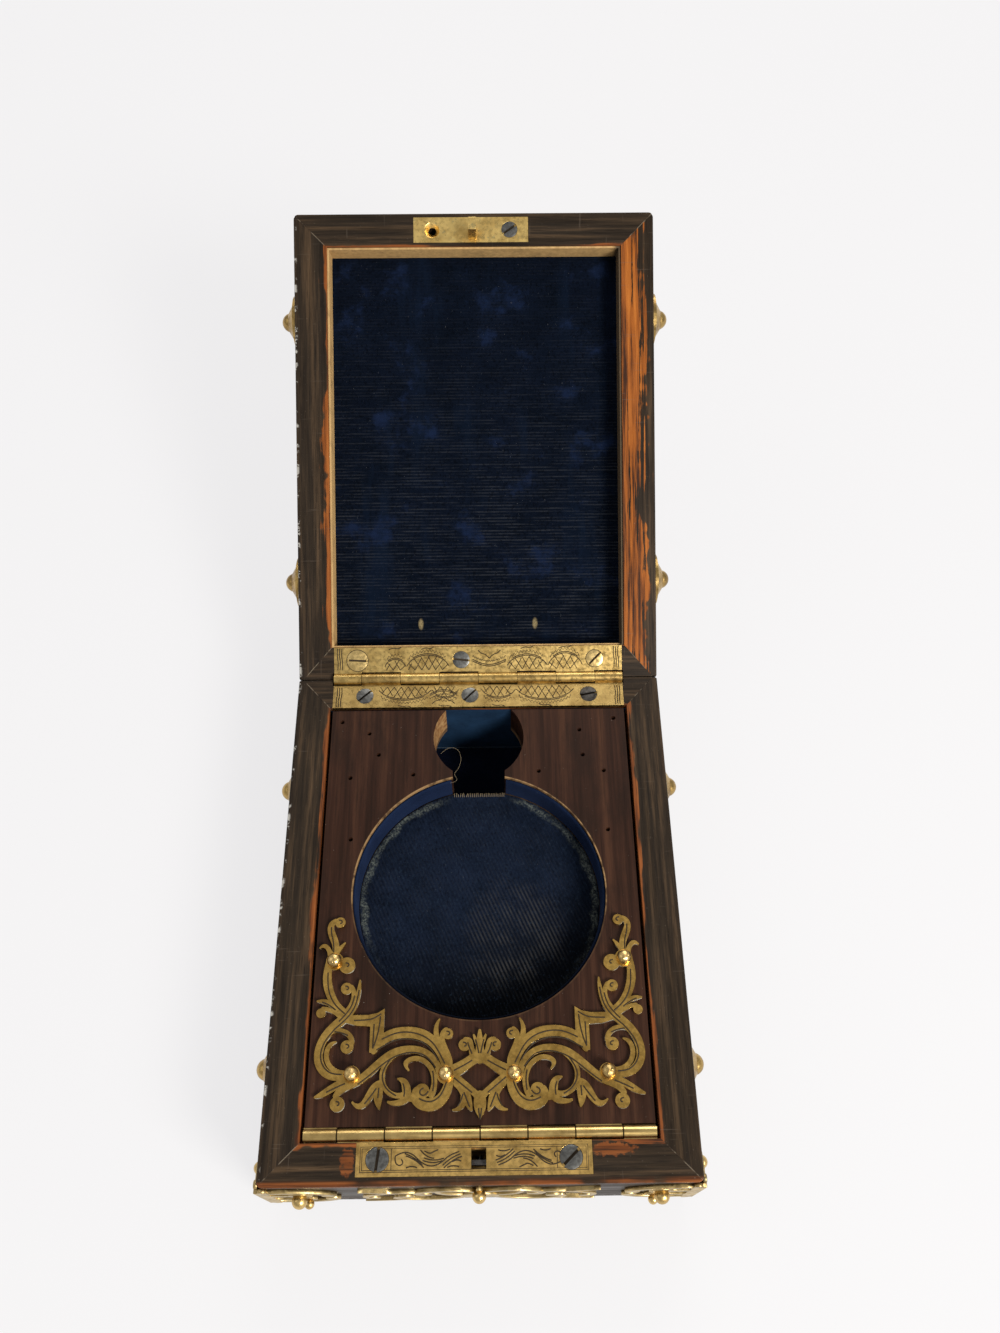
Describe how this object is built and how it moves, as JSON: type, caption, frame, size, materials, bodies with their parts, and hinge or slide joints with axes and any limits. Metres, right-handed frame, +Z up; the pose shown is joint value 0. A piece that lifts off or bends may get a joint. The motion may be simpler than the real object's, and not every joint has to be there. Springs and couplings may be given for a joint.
{
  "type": "travelling watch case",
  "caption": "Brass-mounted rosewood travelling case for a pocket watch: hinged lid, and a hinged flap with a round velvet well and a slot for the watch's bow, shut by a lever lock.",
  "frame": {"origin": "centre of the underside of the base", "axes": "+X to the right seen from the front, +Y to the back where the lid is hinged, +Z up; the lid rests open on its stop and the flap lies flat"},
  "size_m": [0.0974, 0.2237, 0.0903],
  "materials": {
    "rosewood": "french polished, worn",
    "flap_veneer": "polished veneer",
    "plain_wood": "bare",
    "brass": "aged, engraved",
    "steel": "dulled",
    "velvet": "navy velvet",
    "tan_silk": "faded silk"
  },
  "bodies": {
    "base": {"base_bottom": "rosewood", "base_left_wall": "rosewood", "base_right_wall": "rosewood", "base_front_wall": "rosewood", "base_back_wall": "rosewood", "base_floor_lining": "velvet", "base_ledges": "plain_wood", "base_back_lining": "tan_silk", "base_hinge_leaf": "brass", "lid_hinge_pin": "steel", "base_hinge_screws": "steel", "lock_plate": "brass", "lock_plate_screws": "steel", "lock_case": "brass", "lock_cap": "brass", "lock_lever_pin": "steel", "lock_drill_pin": "steel", "case_flap_hinge_leaf": "brass", "flap_hinge_pin": "steel", "front_mount": "brass", "front_centre_stud": "brass", "corner_mount_left": "brass", "corner_mount_right": "brass", "corner_studs": "brass", "base_bosses_left": "brass", "base_bosses_right": "brass"},
    "lock_bolt": {"lock_bolt": "brass"},
    "lock_lever_one": {"lock_lever_one": "brass", "lock_spring_one": "steel"},
    "lock_lever_two": {"lock_lever_two": "brass", "lock_spring_two": "steel"},
    "flap": {"flap_panel": "flap_veneer", "flap_backing": "plain_wood", "well_lining": "velvet", "watch_pad": "velvet", "flap_hinge_leaf": "brass", "flap_mount": "brass", "flap_studs": "brass"},
    "lid": {"lid_left_rail": "rosewood", "lid_right_rail": "rosewood", "lid_front_rail": "rosewood", "lid_back_rail": "rosewood", "lid_top_board": "rosewood", "lid_velvet_panel": "velvet", "lid_recess_strips": "plain_wood", "lid_hinge_leaf": "brass", "lid_hinge_screws": "steel", "lid_link_plate": "brass", "lid_link_screw": "steel", "lid_lock_hook": "brass", "lid_bosses_left": "brass", "lid_bosses_right": "brass"}
  },
  "joints": [
    {"name": "lid_hinge", "type": "hinge", "parent": "base", "child": "lid", "pos_m": [0, 0.0569, 0.02715], "axis": [1, 0, 0], "range_deg": [0, 149]},
    {"name": "flap_hinge", "type": "hinge", "parent": "base", "child": "flap", "pos_m": [0, -0.0485, 0.0262], "axis": [-1, 0, 0], "range_deg": [-115, 0]},
    {"name": "lock_bolt_slide", "type": "slide", "parent": "base", "child": "lock_bolt", "axis": [1, 0, 0], "range_m": [0, 0.0038]},
    {"name": "lever_one_pivot", "type": "hinge", "parent": "base", "child": "lock_lever_one", "pos_m": [-0.0135, -0.0541, 0.0184], "axis": [0, -1, 0], "range_deg": [0, 5], "stiffness_Nm_per_rad": 0.02, "springref_deg": -9.74},
    {"name": "lever_two_pivot", "type": "hinge", "parent": "base", "child": "lock_lever_two", "pos_m": [-0.0135, -0.0548, 0.0184], "axis": [0, -1, 0], "range_deg": [0, 5], "stiffness_Nm_per_rad": 0.02, "springref_deg": -9.74}
  ]
}
